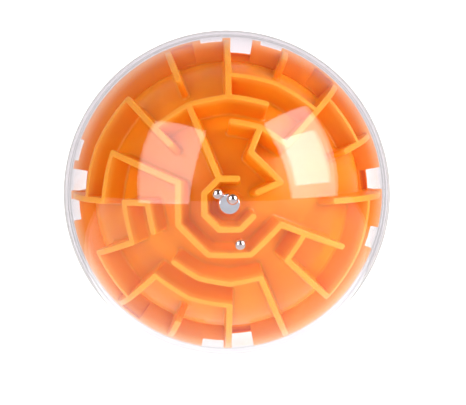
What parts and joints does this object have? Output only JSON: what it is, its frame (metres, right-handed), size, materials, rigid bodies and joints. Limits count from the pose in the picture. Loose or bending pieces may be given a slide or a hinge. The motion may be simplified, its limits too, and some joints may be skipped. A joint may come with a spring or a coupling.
{
  "type": "tilt maze game",
  "caption": "Clear round ball holding a moulded orange spherical labyrinth, with loose steel balls to be tilted through the channels to a magnet at the pole.",
  "frame": {"origin": "centre of the clear ball", "axes": "+Z from the flat foot through the centre to the pole with the magnet that faces the player; +X and +Y lie in the seam between the two halves, on maze walls"},
  "size_m": [0.105, 0.105, 0.1045],
  "materials": {
    "orange": "semi-gloss",
    "clear": "clear polished plastic",
    "steel": "polished",
    "magnet": "nickel plated"
  },
  "bodies": {
    "maze": {"upper_floor": "orange", "upper_equator_plate": "orange", "upper_magnet": "magnet", "upper_shell": "clear", "upper_spoke_000": "orange", "upper_spoke_045": "orange", "upper_spoke_180": "orange", "upper_spoke_135_and_arc": "orange", "upper_inner_ring": "orange", "upper_north_arc_and_spoke_112": "orange", "upper_spoke_090": "orange", "upper_spoke_225_and_arc": "orange", "upper_spoke_270": "orange", "upper_spoke_292_and_arc": "orange", "upper_cup": "orange", "upper_spoke_337": "orange", "upper_zigzag": "orange", "upper_outer_arc_north": "orange", "upper_hook_157": "orange", "upper_hook_315": "orange", "upper_outer_arc_east": "orange", "upper_hook_022": "orange", "upper_gate_180": "orange", "upper_step_202": "orange", "upper_south_arc": "orange", "upper_stub_067": "orange", "upper_stub_112": "orange", "upper_stub_247": "orange", "lower_floor": "orange", "lower_equator_plate": "orange", "lower_magnet": "magnet", "lower_shell": "clear", "lower_spoke_000": "orange", "lower_spoke_045": "orange", "lower_spoke_180": "orange", "lower_spoke_135_and_arc": "orange", "lower_inner_ring": "orange", "lower_north_arc_and_spoke_112": "orange", "lower_spoke_090": "orange", "lower_spoke_225_and_arc": "orange", "lower_spoke_270": "orange", "lower_spoke_292_and_arc": "orange", "lower_cup": "orange", "lower_spoke_337": "orange", "lower_zigzag": "orange", "lower_outer_arc_north": "orange", "lower_hook_157": "orange", "lower_hook_315": "orange", "lower_outer_arc_east": "orange", "lower_hook_022": "orange", "lower_gate_180": "orange", "lower_step_202": "orange", "lower_south_arc": "orange", "lower_stub_067": "orange", "lower_stub_112": "orange", "lower_stub_247": "orange"},
    "ball_1": {"ball_1": "steel"},
    "ball_2": {"ball_2": "steel"},
    "ball_3": {"ball_3": "steel"}
  },
  "joints": [
    {"name": "ball_1_roll", "type": "hinge", "parent": "maze", "child": "ball_1", "pos_m": [0, 0, 0.0478], "axis": [0, 0, 1], "range_deg": [-157, 83]},
    {"name": "ball_2_roll", "type": "hinge", "parent": "maze", "child": "ball_2", "pos_m": [0, 0, 0.0478], "axis": [0, 0, 1], "range_deg": [-15, 120]},
    {"name": "ball_3_roll", "type": "hinge", "parent": "maze", "child": "ball_3", "pos_m": [0, 0, 0.0478], "axis": [0, 0, 1], "range_deg": [-113, 15]}
  ]
}
